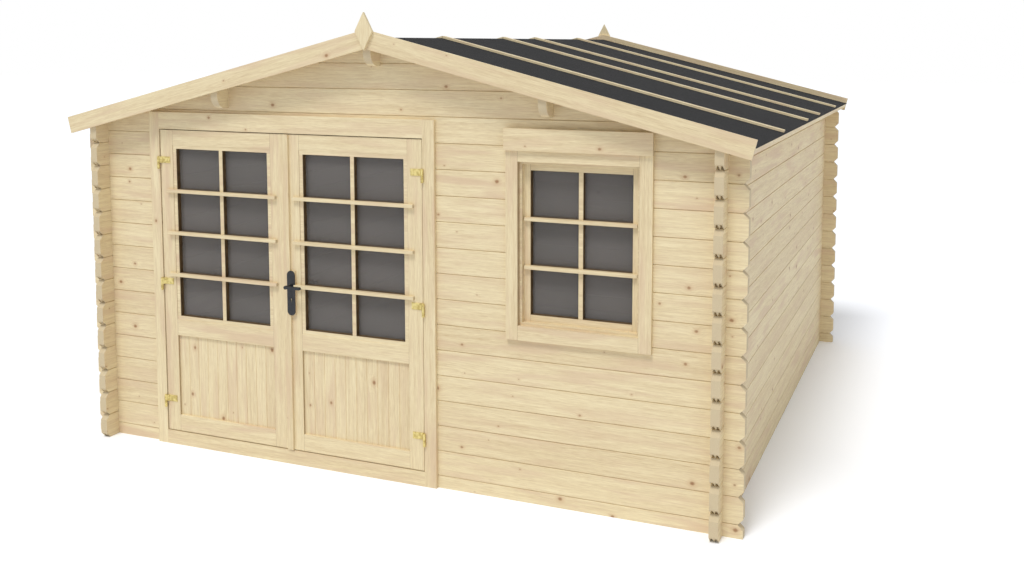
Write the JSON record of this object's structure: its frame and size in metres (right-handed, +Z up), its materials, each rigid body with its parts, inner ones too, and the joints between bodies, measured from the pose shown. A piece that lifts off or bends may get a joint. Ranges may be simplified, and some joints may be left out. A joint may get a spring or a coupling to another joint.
{
  "type": "garden shed",
  "caption": "Small gabled garden shed of interlocking wooden boards, with glazed double doors, a window and a felted low-pitched roof.",
  "frame": {"origin": "on the ground, under the middle of the shed's plan", "axes": "+X to the right of someone who faces the doors, -Y the door side, +Z up"},
  "size_m": [3.9876, 3.9496, 2.4872],
  "materials": {
    "spruce_boards": "planed, unpainted",
    "roof_boards": "planed, unpainted",
    "spruce_trim": "planed, unpainted",
    "spruce_beams": "planed, unpainted",
    "floor_boards": "planed, unpainted",
    "spruce_joinery": "sanded, unpainted",
    "roofing_felt": "mineral grit",
    "window_glass": "clear",
    "black_handle": "satin black",
    "brass_hinges": "brass plated"
  },
  "bodies": {
    "shed": {"left_wall": "spruce_boards", "right_wall": "spruce_boards", "back_wall": "spruce_boards", "front_wall_left": "spruce_boards", "front_wall_middle": "spruce_boards", "front_wall_right": "spruce_boards", "front_wall_over_door": "spruce_boards", "front_wall_over_window": "spruce_boards", "front_wall_under_window": "spruce_boards", "front_gable": "spruce_boards", "roof_boards_left": "roof_boards", "roof_boards_right": "roof_boards", "roof_felt": "roofing_felt", "roof_battens": "spruce_trim", "eave_strips": "spruce_trim", "bargeboard_front_left": "spruce_trim", "bargeboard_front_right": "spruce_trim", "bargeboard_back_left": "spruce_trim", "bargeboard_back_right": "spruce_trim", "finial_front": "spruce_trim", "finial_back": "spruce_trim", "ridge_purlin": "spruce_beams", "side_purlins": "spruce_beams", "floor_joists": "spruce_beams", "floor_boards": "floor_boards", "door_jamb_left": "spruce_joinery", "door_jamb_right": "spruce_joinery", "door_head": "spruce_joinery", "door_threshold": "spruce_joinery", "door_hinge_pins": "brass_hinges", "window_head": "spruce_joinery", "window_casing": "spruce_joinery", "window_sash": "spruce_joinery", "window_glass": "window_glass"},
    "left_door": {"left_door_frame": "spruce_joinery", "left_door_panel": "spruce_joinery", "left_door_glass": "window_glass", "left_hinge_straps": "brass_hinges"},
    "right_door": {"right_door_frame": "spruce_joinery", "right_door_panel": "spruce_joinery", "right_door_glass": "window_glass", "door_meeting_strip": "spruce_joinery", "door_handle_plates": "black_handle", "right_hinge_straps": "brass_hinges"},
    "door_lever": {"door_lever": "black_handle"}
  },
  "joints": [
    {"name": "left_door_hinge", "type": "hinge", "parent": "shed", "child": "left_door", "pos_m": [-1.4165, -1.8725, 0.966], "axis": [0, 0, -1], "range_deg": [0, 120]},
    {"name": "right_door_hinge", "type": "hinge", "parent": "shed", "child": "right_door", "pos_m": [0.2745, -1.8725, 0.966], "axis": [0, 0, 1], "range_deg": [0, 120]},
    {"name": "lever_turn", "type": "hinge", "parent": "right_door", "child": "door_lever", "pos_m": [-0.5325, -1.8595, 1.013], "axis": [0, 1, 0], "range_deg": [0, 45], "stiffness_Nm_per_rad": 2, "springref_deg": -8.59}
  ]
}
